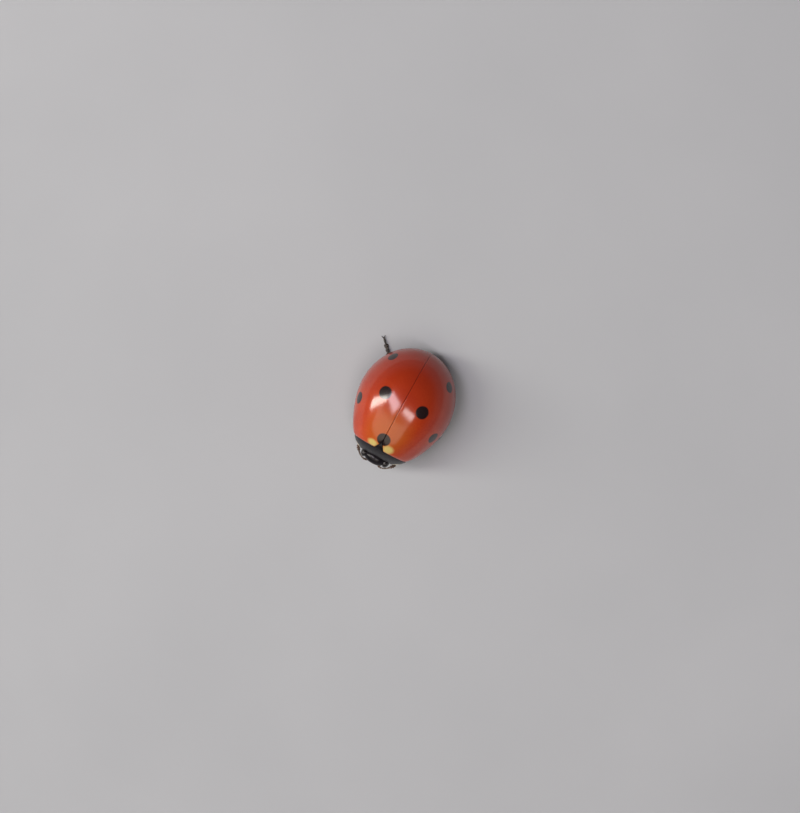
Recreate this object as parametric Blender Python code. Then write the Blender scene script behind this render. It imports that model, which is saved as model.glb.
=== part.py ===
"""A seven-spot ladybird at its real size, standing still: the solids of a museum-like model.

Lengths are in metres and angles in degrees. The head points along -Y and the rear along +Y, the
ladybird's own left is +X, and the floor that it stands on is z = 0.
"""

import math

import bmesh
import bpy
from mathutils import Matrix, Vector

MM = 0.001

# Gaps between touching pieces: the big plates and legs, and the small parts of the head
GAP = 0.25 * MM
FINE_GAP = 0.12 * MM

# Corners that a cut leaves nearer together than this are joined
WELD = 0.0012 * MM

# The two elytra together, as a dome. Its plan is half an ellipse behind its widest place, and ahead
# of it a longer curve with straighter sides, cut off at the base. Places along Y are told from the
# widest place.
SHELL_HALF_WIDTH = 2.70 * MM
SHELL_FRONT_LENGTH = 4.10 * MM
SHELL_FRONT_POWER = 1.70
SHELL_REAR_LENGTH = 3.15 * MM
SHELL_WIDEST_Y = 0.38 * MM
SHELL_THICKNESS = 0.50 * MM
SHELL_HEIGHT = 2.55 * MM
SHELL_TOP_Y = SHELL_WIDEST_Y - 0.13 * MM
SHELL_RISE_LENGTH = 4.15 * MM
FRONT_INSET_SHARE = 0.60
SHELL_SECTION_POWER = 2.12
MARGIN_Z = 1.10 * MM
MARGIN_CURVE = 0.16 * MM

# The line between pronotum and elytra is a flat arc, furthest back in the middle
BASE_MIDDLE_Y = SHELL_WIDEST_Y - 2.67 * MM
BASE_ARC_RADIUS = 11.00 * MM

# The scutellum, a small triangle between the bases of the elytra
SCUTELLUM_HALF_WIDTH = 0.29 * MM
SCUTELLUM_LENGTH = 0.48 * MM

# The pronotum, a blunt cap that slopes steeply down to the head, with a hollow front edge
PRONOTUM_Y = SHELL_WIDEST_Y - 2.33 * MM
PRONOTUM_RIM_Z = 1.30 * MM
PRONOTUM_HALF_WIDTH = 1.80 * MM
PRONOTUM_LENGTH = 1.28 * MM
PRONOTUM_HEIGHT = 2.00 * MM
PRONOTUM_DEPTH = 0.32 * MM
NOTCH_RADIUS = 3.75 * MM
NOTCH_MIDDLE_Y = SHELL_WIDEST_Y - 3.22 * MM

# The head, bent down under the front of the pronotum
HEAD_CENTRE = Vector((0.0, SHELL_WIDEST_Y - 3.38 * MM, 1.54 * MM))
HEAD_RADII = Vector((0.60, 0.44, 0.51)) * MM
HEAD_TILT = 15.0
EYE_CENTRE = HEAD_CENTRE + Vector((0.60, -0.05, 0.05)) * MM
EYE_RADII = Vector((0.20, 0.25, 0.29)) * MM
MUZZLE_CENTRE = HEAD_CENTRE + Vector((0.0, -0.22, -0.28)) * MM
MUZZLE_RADII = Vector((0.40, 0.26, 0.26)) * MM
LIP_CENTRE = HEAD_CENTRE + Vector((0.0, -0.36, -0.36)) * MM
LIP_RADII = Vector((0.28, 0.15, 0.12)) * MM
LIP_TILT = -25.0
JAW_ROOT = LIP_CENTRE + Vector((0.20, 0.05, -0.06)) * MM
JAW_TIP = LIP_CENTRE + Vector((0.03, -0.10, -0.20)) * MM
JAW_RADIUS = 0.11 * MM
MOUTH_LINE_HALF_WIDTH = 0.60 * MM
MOUTH_LINE_FRONT = LIP_CENTRE.y - 0.40 * MM
MOUTH_LINE_REAR = LIP_CENTRE.y - 0.06 * MM
MOUTH_LINE_LOW = LIP_CENTRE.z - 0.115 * MM
MOUTH_LINE_HIGH = LIP_CENTRE.z - 0.065 * MM

# The feelers: a stalk from the pit beside the muzzle, and a club of three joints
ANTENNA_ROUTE = [
    HEAD_CENTRE + Vector((0.30, -0.40, -0.12)) * MM,
    HEAD_CENTRE + Vector((0.66, -0.46, -0.28)) * MM,
    HEAD_CENTRE + Vector((0.96, -0.26, -0.44)) * MM,
    HEAD_CENTRE + Vector((1.18, 0.00, -0.52)) * MM,
]
ANTENNA_RADII = [0.13 * MM, 0.13 * MM, 0.15 * MM, 0.18 * MM]
ANTENNA_PIT_RADIUS = ANTENNA_RADII[0] + FINE_GAP

# The palps beside the jaws: a stalk and the last joint, shaped like a hatchet
PALP_ROOT = HEAD_CENTRE + Vector((0.36, -0.10, -0.62)) * MM
PALP_BEND = HEAD_CENTRE + Vector((0.52, -0.30, -0.70)) * MM
PALP_TIP = HEAD_CENTRE + Vector((0.40, -0.50, -0.74)) * MM
PALP_ROOT_RADIUS = 0.12 * MM
PALP_BEND_RADIUS = 0.10 * MM
PALP_TIP_RADIUS = 0.17 * MM

# Belly plates under the elytra
BODY_INSET = SHELL_THICKNESS + GAP
BELLY_Z = 0.98 * MM
BELLY_SIDE_RISE = 0.22 * MM
BELLY_END_RISE = 0.25 * MM
BELLY_SIDE_DEPTH = 0.06 * MM
BELLY_END_Z = BELLY_Z + 0.42 * MM
THORAX_REAR_Y = SHELL_WIDEST_Y - 0.10 * MM
ABDOMEN_PLATES = 6
PLATE_STEP = 0.07 * MM

# Legs: the thickness of each stretch, about half a millimetre but for the feet and claws
COXA_RADII = Vector((0.34, 0.27, 0.26)) * MM
FEMUR_RADIUS = 0.27 * MM
KNEE_RADIUS = 0.25 * MM
ANKLE_RADIUS = 0.22 * MM
TARSUS_RADIUS = 0.20 * MM
CLAW_RADIUS = 0.07 * MM
CLAW_LENGTH = 0.24 * MM
CLAW_SPREAD = 28.0
LEG_SIDES = 10
LEG_ROOM = 0.15 * MM
FEMUR_FLATNESS = 0.85
FEMUR_SWELL = 0.15

# Where the hips of the left legs sit
HIPS = {
    "fore": Vector((0.46 * MM, SHELL_WIDEST_Y - 2.90 * MM, 1.02 * MM)),
    "mid": Vector((0.78 * MM, SHELL_WIDEST_Y - 1.72 * MM, 1.00 * MM)),
    "hind": Vector((0.80 * MM, SHELL_WIDEST_Y - 0.62 * MM, 1.00 * MM)),
}

# Knee, ankle and toe of each leg, for the left side, in millimetres and with Y from the widest
# place of the elytra. The right hind leg reaches back and out.
LEG_ROUTES = {
    "fore": [(1.46, -2.85, 0.77), (1.68, -2.34, 0.17), (1.70, -1.96, 0.11)],
    "mid": [(2.12, -1.80, 0.80), (2.56, -0.84, 0.17), (2.50, -0.30, 0.11)],
    "hind": [(2.02, 0.46, 0.78), (2.10, 1.36, 0.17), (1.66, 1.90, 0.11)],
    "hind out": [(1.64, 0.66, 0.78), (2.18, 1.86, 0.17), (2.76, 2.46, 0.11)],
}


def clear_scene():
    """Remove what the startup file holds."""
    for thing in list(bpy.data.objects):
        bpy.data.objects.remove(thing, do_unlink=True)


def make_material(name, colour, roughness):
    """A plain Principled material in the part's colour."""
    material = bpy.data.materials.new(name)
    material.use_nodes = True
    shader = material.node_tree.nodes["Principled BSDF"]
    shader.inputs["Base Color"].default_value = (*colour, 1.0)
    shader.inputs["Roughness"].default_value = roughness
    shader.inputs["Metallic"].default_value = 0.0
    return material


def make_object(name, shape):
    """Turn a bmesh into an object, its faces pointing out."""
    bmesh.ops.recalc_face_normals(shape, faces=shape.faces)
    mesh = bpy.data.meshes.new(name)
    shape.to_mesh(mesh)
    shape.free()
    thing = bpy.data.objects.new(name, mesh)
    bpy.context.scene.collection.objects.link(thing)
    return thing


def ring_solid(name, rings):
    """A closed solid through rings of equal count; a ring of one point closes to that point."""
    shape = bmesh.new()
    rows = [[shape.verts.new(point) for point in ring] for ring in rings]
    for row, following in zip(rows, rows[1:]):
        count = max(len(row), len(following))
        for i in range(count):
            j = (i + 1) % count
            if len(row) == 1:
                shape.faces.new((row[0], following[i], following[j]))
            elif len(following) == 1:
                shape.faces.new((row[i], row[j], following[0]))
            else:
                shape.faces.new((row[i], row[j], following[j], following[i]))
    for row in (rows[0], rows[-1]):
        if len(row) > 2:
            shape.faces.new(row)
    return make_object(name, shape)


def ellipsoid(name, centre, radii, tilt=0.0, segments=20, rings=12, lower=None):
    """An ellipsoid, tilted about X; lower is the semi-axis under the centre if it differs."""
    shape = bmesh.new()
    bmesh.ops.create_uvsphere(shape, u_segments=segments, v_segments=rings, radius=1.0)
    for vert in shape.verts:
        depth = radii.z if lower is None or vert.co.z >= 0.0 else lower
        vert.co = Vector((vert.co.x * radii.x, vert.co.y * radii.y, vert.co.z * depth))
    turn = Matrix.Rotation(math.radians(tilt), 4, "X")
    bmesh.ops.transform(shape, matrix=Matrix.Translation(centre) @ turn, verts=shape.verts)
    return make_object(name, shape)


def upright_prism(name, outline, low, high):
    """A prism with an upright axis over a plan outline of (x, y) points."""
    rings = [[Vector((x, y, z)) for x, y in outline] for z in (low, high)]
    return ring_solid(name, rings)


def block(name, low, high):
    """A box between two corners."""
    outline = [(low.x, low.y), (high.x, low.y), (high.x, high.y), (low.x, high.y)]
    return upright_prism(name, outline, low.z, high.z)


def circle_outline(centre_y, radius, points):
    """A circle on the plan, centred on the middle line."""
    turns = [2.0 * math.pi * i / points for i in range(points)]
    return [(radius * math.sin(turn), centre_y + radius * math.cos(turn)) for turn in turns]


def settle(thing):
    """Replace an object's mesh by what its modifiers give."""
    graph = bpy.context.evaluated_depsgraph_get()
    mesh = bpy.data.meshes.new_from_object(thing.evaluated_get(graph))
    thing.modifiers.clear()
    thing.data = mesh


def combine(thing, others, operation):
    """Cut, join or intersect with a list of closed objects, which are used up."""
    group = bpy.data.collections.new(thing.name + " tools")
    for other in others:
        group.objects.link(other)
    modifier = thing.modifiers.new(operation, "BOOLEAN")
    modifier.operation = operation
    modifier.solver = "EXACT"
    modifier.operand_type = "COLLECTION"
    modifier.collection = group
    settle(thing)
    for other in others:
        bpy.data.objects.remove(other, do_unlink=True)
    bpy.data.collections.remove(group)


def keep_largest(shape):
    """Leave only the largest closed surface of a bmesh."""
    waiting = set(shape.faces)
    surfaces = []
    while waiting:
        border = [waiting.pop()]
        surface = list(border)
        while border:
            face = border.pop()
            for edge in face.edges:
                for other in edge.link_faces:
                    if other in waiting:
                        waiting.remove(other)
                        border.append(other)
                        surface.append(other)
        surfaces.append(surface)
    surfaces.sort(key=lambda faces: sum(face.calc_area() for face in faces))
    for surface in surfaces[:-1]:
        bmesh.ops.delete(shape, geom=surface, context="FACES")


def finish_piece(thing, name, material, smooth_angle=40.0):
    """Clean a cut mesh, keep its largest surface, and give it its name and material."""
    shape = bmesh.new()
    shape.from_mesh(thing.data)
    bmesh.ops.remove_doubles(shape, verts=shape.verts, dist=WELD)
    bmesh.ops.dissolve_degenerate(shape, edges=shape.edges, dist=WELD)
    bmesh.ops.triangulate(shape, faces=[face for face in shape.faces if len(face.verts) > 4])
    keep_largest(shape)
    loose = [vert for vert in shape.verts if not vert.link_faces]
    bmesh.ops.delete(shape, geom=loose, context="VERTS")
    bmesh.ops.recalc_face_normals(shape, faces=shape.faces)
    mesh = bpy.data.meshes.new(name)
    shape.to_mesh(mesh)
    shape.free()
    mesh.materials.clear()
    mesh.materials.append(material)
    mesh.shade_smooth()
    mesh.set_sharp_from_angle(angle=math.radians(smooth_angle))
    thing.data = mesh
    thing.name = name
    return thing


def mirrored(point, side):
    """A point given for the left side, moved to the wanted side."""
    return Vector((point.x * side, point.y, point.z))


def shell_size(y, inset):
    """Half width, height over the margin and height of the margin of the dome at one place."""
    beyond = y - SHELL_WIDEST_Y
    if beyond > 0.0:
        length = SHELL_REAR_LENGTH - inset
        power = 2.0
    else:
        length = SHELL_FRONT_LENGTH - inset * FRONT_INSET_SHARE
        power = SHELL_FRONT_POWER
    share = min(1.0, abs(beyond) / length)
    half_width = (SHELL_HALF_WIDTH - inset) * (1.0 - share ** power) ** (1.0 / power)
    past_top = y - SHELL_TOP_Y
    if past_top > 0.0:
        reach = SHELL_WIDEST_Y + SHELL_REAR_LENGTH - SHELL_TOP_Y - inset
    else:
        reach = SHELL_RISE_LENGTH - inset * FRONT_INSET_SHARE
    share = min(1.0, abs(past_top) / reach)
    height = (SHELL_HEIGHT - inset) * math.sqrt(max(0.0, 1.0 - share ** 2))
    margin = MARGIN_Z + MARGIN_CURVE * (beyond / SHELL_REAR_LENGTH) ** 2
    return half_width, height, margin


def shell_arch(y, inset, points):
    """The points of the dome's cross-section from the right margin over the top to the left."""
    half_width, height, margin = shell_size(y, inset)
    arch = []
    for i in range(points):
        turn = math.pi * (i / (points - 1) - 0.5)
        across = math.copysign(abs(math.sin(turn)) ** (2.0 / SHELL_SECTION_POWER), turn)
        up = max(0.0, math.cos(turn)) ** (2.0 / SHELL_SECTION_POWER)
        arch.append(Vector((half_width * across, y, margin + height * up)))
    return arch


def shell_stations(front_y, inset, count):
    """Places along Y, closer together towards the rear end, which the last one reaches."""
    rear_y = SHELL_WIDEST_Y + SHELL_REAR_LENGTH - inset
    turns = [math.pi / 2.0 * i / count for i in range(count + 1)]
    return [front_y + (rear_y - front_y) * math.sin(turn) for turn in turns]


def shell_dome(name, inset, drop, points, count):
    """The dome as a closed solid, its bottom that far under the margin."""
    front_y = BASE_MIDDLE_Y - 0.45 * MM
    rings = []
    for y in shell_stations(front_y, inset, count)[:-1]:
        arch = shell_arch(y, inset, points)
        foot = [Vector((p.x, p.y, p.z - drop)) for p in (arch[-1], arch[0])]
        rings.append(arch + foot)
    rear_y = SHELL_WIDEST_Y + SHELL_REAR_LENGTH - inset
    margin = shell_size(rear_y, inset)[2]
    rings.append([Vector((0.0, rear_y, margin - drop / 2.0))])
    return ring_solid(name, rings)


def base_cylinder(offset):
    """The upright cylinder whose rear side is the line between pronotum and elytra."""
    radius = BASE_ARC_RADIUS + offset
    outline = circle_outline(BASE_MIDDLE_Y - BASE_ARC_RADIUS, radius, 96)
    return upright_prism("base", outline, -1.0 * MM, 6.0 * MM)


def scutellum_prism(offset):
    """The scutellum's triangle on the plan, grown by an offset, over the whole height."""
    front = BASE_MIDDLE_Y - 0.6 * MM
    slope = SCUTELLUM_HALF_WIDTH / SCUTELLUM_LENGTH
    stretch = offset * math.sqrt(1.0 + slope ** 2) / slope
    tip = BASE_MIDDLE_Y + GAP / 2.0 + SCUTELLUM_LENGTH + stretch
    half_width = (tip - front) * slope
    outline = [(-half_width, front), (half_width, front), (0.0, tip)]
    return upright_prism("triangle", outline, 0.0, 6.0 * MM)


def shell_plate(points=41, count=21):
    """The hollow dome behind the base line, from which the elytra and the scutellum are cut."""
    dome = shell_dome("plate", 0.0, 0.08 * MM, points, count)
    hollow = shell_dome("hollow", SHELL_THICKNESS, 0.9 * MM, points, count)
    combine(dome, [hollow, base_cylinder(GAP / 2.0)], "DIFFERENCE")
    return dome


def make_elytron(side, name, material):
    """One wing case: its half of the hollow dome, with a notch for the scutellum."""
    plate = shell_plate()
    near, far = sorted((side * GAP / 2.0, side * 4.0 * MM))
    half = block("half", Vector((near, -5.0 * MM, 0.0)), Vector((far, 5.0 * MM, 5.0 * MM)))
    combine(plate, [half], "INTERSECT")
    combine(plate, [scutellum_prism(GAP)], "DIFFERENCE")
    return finish_piece(plate, name, material)


def make_scutellum(material):
    """The small triangular plate between the bases of the elytra."""
    plate = shell_plate()
    combine(plate, [scutellum_prism(0.0)], "INTERSECT")
    return finish_piece(plate, "scutellum", material, 30.0)


def belly_ring(y, inset, lowering, points):
    """A cross-section of the body under the elytra: the dome's arch and a curved belly."""
    arch = shell_arch(y, inset, points)
    half_width = shell_size(y, inset)[0]
    reach = half_width / (SHELL_HALF_WIDTH - inset)
    low = BELLY_Z + BELLY_END_RISE * (1.0 - reach ** 2)
    side_z = low + BELLY_SIDE_RISE + BELLY_SIDE_DEPTH
    ring = [Vector((p.x, p.y, max(p.z, side_z))) for p in arch]
    for i in range(1, points - 1):
        share = 1.0 - 2.0 * i / (points - 1)
        ring.append(Vector((half_width * share, y, low - lowering + BELLY_SIDE_RISE * share ** 2)))
    return ring


def leg_places(route, side):
    """The knee, ankle and toe of a route, on the wanted side."""
    places = []
    for x, y, z in LEG_ROUTES[route]:
        places.append(Vector((side * x * MM, SHELL_WIDEST_Y + y * MM, z * MM)))
    return places


def leg_route(pair, side):
    """Which route a leg takes."""
    if pair == "hind" and side < 0:
        return "hind out"
    return pair


def hip_and_femur(pair, side, grow):
    """The hip and the femur of a leg, grown by the gap where they stand for their room."""
    root = mirrored(HIPS[pair], side)
    knee = leg_places(leg_route(pair, side), side)[0]
    hip = ellipsoid("hip", root, COXA_RADII + Vector((grow, grow, grow)), 0.0, 16, 8)
    femur = taper("femur", root, knee, FEMUR_RADIUS + grow, KNEE_RADIUS + grow, LEG_SIDES,
                  FEMUR_FLATNESS, FEMUR_SWELL)
    return [hip, femur]


def leg_rooms(*pairs):
    """The room that the upper parts of some pairs of legs need under the body."""
    rooms = []
    for pair in pairs:
        for side in (1, -1):
            rooms.extend(hip_and_femur(pair, side, LEG_ROOM))
    return rooms


def make_thorax(material):
    """The middle of the underside, with sockets for the middle and hind hips."""
    front_y = BASE_MIDDLE_Y - 0.1 * MM
    count = 9
    rings = []
    for i in range(count):
        y = front_y + (THORAX_REAR_Y - front_y) * i / (count - 1)
        rings.append(belly_ring(y, BODY_INSET, 0.0, 17))
    thorax = ring_solid("thorax", rings)
    combine(thorax, [base_cylinder(GAP / 2.0)] + leg_rooms("mid", "hind"), "DIFFERENCE")
    return finish_piece(thorax, "thorax", material)


def make_abdomen(material):
    """The rear of the underside: six belly plates, each standing a little over the next."""
    front_y = THORAX_REAR_Y + GAP
    rear_y = SHELL_WIDEST_Y + SHELL_REAR_LENGTH - BODY_INSET
    length = (rear_y - front_y) * 0.97
    edges = [math.sin(math.pi / 2.0 * i / ABDOMEN_PLATES) for i in range(ABDOMEN_PLATES + 1)]
    rings = []
    for i in range(ABDOMEN_PLATES):
        start = front_y + length * edges[i]
        end = front_y + length * edges[i + 1]
        step = (end - start) * 0.12
        rings.append(belly_ring(start + step, BODY_INSET, 0.0, 17))
        rings.append(belly_ring(end - step, BODY_INSET, PLATE_STEP, 17))
    rings.append([Vector((0.0, rear_y, BELLY_END_Z))])
    abdomen = ring_solid("abdomen", rings)
    combine(abdomen, leg_rooms("hind"), "DIFFERENCE")
    return finish_piece(abdomen, "abdomen", material, 25.0)


def head_cavity():
    """The room that the head and the eyes need inside the front of the pronotum."""
    grow = Vector((FINE_GAP, FINE_GAP, FINE_GAP))
    tools = [ellipsoid("cavity", HEAD_CENTRE, HEAD_RADII + grow, HEAD_TILT)]
    for side in (1, -1):
        place = mirrored(EYE_CENTRE, side)
        tools.append(ellipsoid("cavity", place, EYE_RADII + grow))
    return tools


def pronotum_ring(y, points):
    """A cross-section of the pronotum: its arch from rim to rim, and its flatter underside."""
    share = (y - PRONOTUM_Y) / PRONOTUM_LENGTH
    reach = math.sqrt(1.0 - share ** 2)
    half_width = PRONOTUM_HALF_WIDTH * reach
    ring = []
    for i in range(points):
        turn = math.pi * (i / (points - 1) - 0.5)
        rise = PRONOTUM_HEIGHT * (1.0 - share ** 2) * math.cos(turn)
        ring.append(Vector((half_width * math.sin(turn), y, PRONOTUM_RIM_Z + rise)))
    for i in range(1, points - 1):
        turn = math.pi * (0.5 - i / (points - 1))
        drop = PRONOTUM_DEPTH * reach * math.cos(turn)
        ring.append(Vector((half_width * math.sin(turn), y, PRONOTUM_RIM_Z - drop)))
    return ring


def make_pronotum(material):
    """The first ring of the thorax: a cap with a hollow front edge and room for the fore legs."""
    rings = [[Vector((0.0, PRONOTUM_Y - PRONOTUM_LENGTH, PRONOTUM_RIM_Z))]]
    count = 13
    for i in range(1, count + 1):
        share = math.cos(math.pi / 2.0 * i / count)
        rings.append(pronotum_ring(PRONOTUM_Y - PRONOTUM_LENGTH * share, 37))
    cap = ring_solid("cap", rings)
    combine(cap, [base_cylinder(-GAP / 2.0)], "INTERSECT")
    notch = circle_outline(NOTCH_MIDDLE_Y - NOTCH_RADIUS, NOTCH_RADIUS, 128)
    tools = [upright_prism("notch", notch, 0.0, 5.0 * MM)]
    combine(cap, tools + head_cavity() + leg_rooms("fore"), "DIFFERENCE")
    return finish_piece(cap, "pronotum", material)


def taper(name, start, end, start_radius, end_radius, sides=LEG_SIDES, flatten=1.0, swell=0.0):
    """A limb's stretch: a rod with round ends, flattened upwards and swollen by a share."""
    along = (end - start).normalized()
    across = along.cross(Vector((0.0, 0.0, 1.0)))
    if across.length < 0.1:
        across = Vector((1.0, 0.0, 0.0))
    across.normalize()
    up = across.cross(along) * flatten
    turns = [2.0 * math.pi * i / sides for i in range(sides)]

    def ring(centre, radius):
        return [centre + (across * math.cos(t) + up * math.sin(t)) * radius for t in turns]

    rings = [[start - along * start_radius * 0.9]]
    rings.append(ring(start - along * start_radius * 0.55, start_radius * 0.7))
    rings.append(ring(start, start_radius))
    if swell:
        rings.append(ring(start.lerp(end, 0.45), (start_radius + end_radius) / 2.0 * (1.0 + swell)))
    rings.append(ring(end, end_radius))
    rings.append(ring(end + along * end_radius * 0.55, end_radius * 0.7))
    rings.append([end + along * end_radius * 0.9])
    return ring_solid(name, rings)


def spike(name, start, end, radius, sides=6):
    """A thin cone with its point at the end."""
    along = (end - start).normalized()
    across = along.orthogonal().normalized()
    up = across.cross(along)
    turns = [2.0 * math.pi * i / sides for i in range(sides)]
    ring = [start + (across * math.cos(t) + up * math.sin(t)) * radius for t in turns]
    return ring_solid(name, [ring, [end]])


def join_pieces(pieces):
    """Fuse closed pieces into the first of them."""
    combine(pieces[0], pieces[1:], "UNION")
    return pieces[0]


def cut_sole(thing):
    """Cut off what is under the floor, so that the foot rests on a small flat."""
    low = Vector((-9.0, -9.0, -2.0)) * MM
    high = Vector((9.0, 9.0, 0.0)) * MM
    combine(thing, [block("floor", low, high)], "DIFFERENCE")


def jaw(side):
    """One side of the mandibles, a short hook that points at its fellow."""
    return taper("jaw", mirrored(JAW_ROOT, side), mirrored(JAW_TIP, side), JAW_RADIUS,
                 JAW_RADIUS / 2.0, 8)


def make_head(material):
    """The head capsule, muzzle, upper lip and jaws, with the mouth line and the sockets."""
    head = ellipsoid("head", HEAD_CENTRE, HEAD_RADII, HEAD_TILT, 28, 16)
    muzzle = ellipsoid("muzzle", MUZZLE_CENTRE, MUZZLE_RADII, 0.0, 18, 10)
    lip = ellipsoid("lip", LIP_CENTRE, LIP_RADII, LIP_TILT, 16, 8)
    combine(head, [muzzle, lip, jaw(1), jaw(-1)], "UNION")
    socket_radii = EYE_RADII + Vector((FINE_GAP, FINE_GAP, FINE_GAP))
    pit_radii = Vector((1.0, 1.0, 1.0)) * ANTENNA_PIT_RADIUS
    tools = []
    for side in (1, -1):
        tools.append(ellipsoid("socket", mirrored(EYE_CENTRE, side), socket_radii, 0.0, 20, 12))
        tools.append(ellipsoid("pit", mirrored(ANTENNA_ROUTE[0], side), pit_radii, 0.0, 12, 8))
    low = Vector((-MOUTH_LINE_HALF_WIDTH, MOUTH_LINE_FRONT, MOUTH_LINE_LOW))
    high = Vector((MOUTH_LINE_HALF_WIDTH, MOUTH_LINE_REAR, MOUTH_LINE_HIGH))
    tools.append(block("mouth line", low, high))
    combine(head, tools, "DIFFERENCE")
    return finish_piece(head, "head", material)


def make_eye(side, name, material):
    """A compound eye, a smooth egg in its socket."""
    eye = ellipsoid("eye", mirrored(EYE_CENTRE, side), EYE_RADII, 0.0, 20, 12)
    return finish_piece(eye, name, material)


def make_antenna(side, name, material):
    """A feeler in three stretches, thickest at its club."""
    pieces = []
    for i in range(len(ANTENNA_ROUTE) - 1):
        start = mirrored(ANTENNA_ROUTE[i], side)
        end = mirrored(ANTENNA_ROUTE[i + 1], side)
        pieces.append(taper("stretch", start, end, ANTENNA_RADII[i], ANTENNA_RADII[i + 1], 8))
    return finish_piece(join_pieces(pieces), name, material)


def make_palp(side, name, material):
    """A mouth palp with its broad last joint."""
    root, bend, tip = (mirrored(place, side) for place in (PALP_ROOT, PALP_BEND, PALP_TIP))
    stalk = taper("stalk", root, bend, PALP_ROOT_RADIUS, PALP_BEND_RADIUS, 8)
    blade = taper("blade", bend, tip, PALP_BEND_RADIUS, PALP_TIP_RADIUS, 8, 0.7)
    return finish_piece(join_pieces([stalk, blade]), name, material)


def make_leg(pair, side, name, material):
    """Hip, femur, tibia and foot with its two claws, fused, with a flat sole on the floor."""
    knee, ankle, toe = leg_places(leg_route(pair, side), side)
    along = (toe - ankle).normalized()
    pieces = hip_and_femur(pair, side, 0.0)
    pieces.append(taper("tibia", knee, ankle, KNEE_RADIUS, ANKLE_RADIUS))
    pieces.append(taper("foot", ankle, toe, TARSUS_RADIUS, TARSUS_RADIUS * 0.8))
    for spread in (CLAW_SPREAD, -CLAW_SPREAD):
        way = Matrix.Rotation(math.radians(spread), 3, "Z") @ along
        way.z = -0.12
        pieces.append(spike("claw", toe, toe + way * CLAW_LENGTH, CLAW_RADIUS))
    leg = join_pieces(pieces)
    cut_sole(leg)
    return finish_piece(leg, name, material)


def main():
    clear_scene()
    red = make_material("elytra red", (0.62, 0.07, 0.015), 0.25)
    black = make_material("shell black", (0.012, 0.010, 0.012), 0.35)
    eye_black = make_material("eye black", (0.02, 0.02, 0.022), 0.2)
    brown = make_material("feeler brown", (0.12, 0.05, 0.02), 0.45)
    leg_black = make_material("leg black", (0.015, 0.012, 0.012), 0.45)
    for side, word in ((1, "left"), (-1, "right")):
        make_elytron(side, "elytron_" + word, red)
        make_eye(side, "eye_" + word, eye_black)
        make_antenna(side, "antenna_" + word, brown)
        make_palp(side, "palp_" + word, brown)
        for pair in HIPS:
            make_leg(pair, side, "leg_" + pair + "_" + word, leg_black)
    make_scutellum(black)
    make_pronotum(black)
    make_head(black)
    make_thorax(black)
    make_abdomen(black)


main()
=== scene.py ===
"""The looks of the seven-spot ladybird: its fine shell plates, head, feelers, legs and hairs.

Shapes are worked out in millimetres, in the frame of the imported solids, and each mesh is turned
into metres when it is made. The head points along -Y and the ladybird's own left is +X.
"""

import math
import random

import bmesh
import bpy
import numpy as np
from mathutils import Matrix, Vector
from mathutils.kdtree import KDTree


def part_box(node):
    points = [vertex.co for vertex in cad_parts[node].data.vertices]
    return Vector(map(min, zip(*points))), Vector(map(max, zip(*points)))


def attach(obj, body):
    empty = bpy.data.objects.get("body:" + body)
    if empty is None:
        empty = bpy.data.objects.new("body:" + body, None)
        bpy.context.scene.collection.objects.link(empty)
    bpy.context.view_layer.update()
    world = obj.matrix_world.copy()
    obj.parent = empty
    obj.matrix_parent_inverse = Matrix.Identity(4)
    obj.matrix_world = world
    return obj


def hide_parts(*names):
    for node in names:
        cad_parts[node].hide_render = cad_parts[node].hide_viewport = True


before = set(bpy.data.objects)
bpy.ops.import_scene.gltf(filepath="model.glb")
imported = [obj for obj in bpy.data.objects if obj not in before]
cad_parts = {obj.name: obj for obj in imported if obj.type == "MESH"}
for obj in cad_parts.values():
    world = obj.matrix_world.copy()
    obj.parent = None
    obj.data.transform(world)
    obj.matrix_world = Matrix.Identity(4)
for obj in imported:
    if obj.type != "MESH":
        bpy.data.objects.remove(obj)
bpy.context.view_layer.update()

MM = 0.001
UP = np.array([0.0, 0.0, 1.0])
SHARP_ANGLE = 50.0
rng = random.Random(7)

# The dome of the elytra, as the solids have it
SHELL_HALF_WIDTH = 2.70
SHELL_FRONT_LENGTH = 4.10
SHELL_FRONT_POWER = 1.70
SHELL_REAR_LENGTH = 3.15
SHELL_HEIGHT = 2.55
SHELL_RISE_LENGTH = 4.15
SHELL_SECTION_POWER = 2.12
FRONT_INSET_SHARE = 0.60
MARGIN_Z = 1.10
MARGIN_CURVE = 0.16
WIDEST_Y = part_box("elytron_left")[1][1] / MM - SHELL_REAR_LENGTH
SHELL_TIP_Y = WIDEST_Y + SHELL_REAR_LENGTH
TOP_Y = WIDEST_Y - 0.13
BASE_MIDDLE_Y = WIDEST_Y - 2.67
BASE_ARC_RADIUS = 11.00

# Fine gaps, edges and swellings of the real elytra
SUTURE_GAP = 0.014
BASE_GAP = 0.022
EDGE_ROUND = 0.03
BASE_EDGE_DEPTH = 0.4
FOLD_WIDTH = 0.46
CORNER_ROUND = 0.16
SHOULDER_SWELL = 0.055
RIM_SWELL = 0.022

# Scutellum, pronotum and head. The profile has shares of the outline and how deep they lie.
SCUTELLUM_HALF_WIDTH = 0.26
SCUTELLUM_LENGTH = 0.45
SCUTELLUM_PROFILE = [
    (1.0, 0.45), (1.0, 0.05), (0.985, 0.02), (0.95, 0.006), (0.8, 0.0), (0.5, -0.008), (0.2, -0.01),
]
PRONOTUM_Y = WIDEST_Y - 2.33
PRONOTUM_Z = 1.30
PRONOTUM_HALF_WIDTH = 1.80
PRONOTUM_LENGTH = 1.28
PRONOTUM_HEIGHT = 2.00
NOTCH_RADIUS = 3.75
NOTCH_MIDDLE_Y = WIDEST_Y - 3.22
PROTHORAX_INSET = 0.13
HEAD_CENTRE = np.array([0.0, WIDEST_Y - 3.38, 1.54])
HEAD_RADII = (0.68, 0.45, 0.53)
HEAD_BOW = 20.0
EYE_PLACE = (0.655, 0.02, 0.06)
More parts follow.
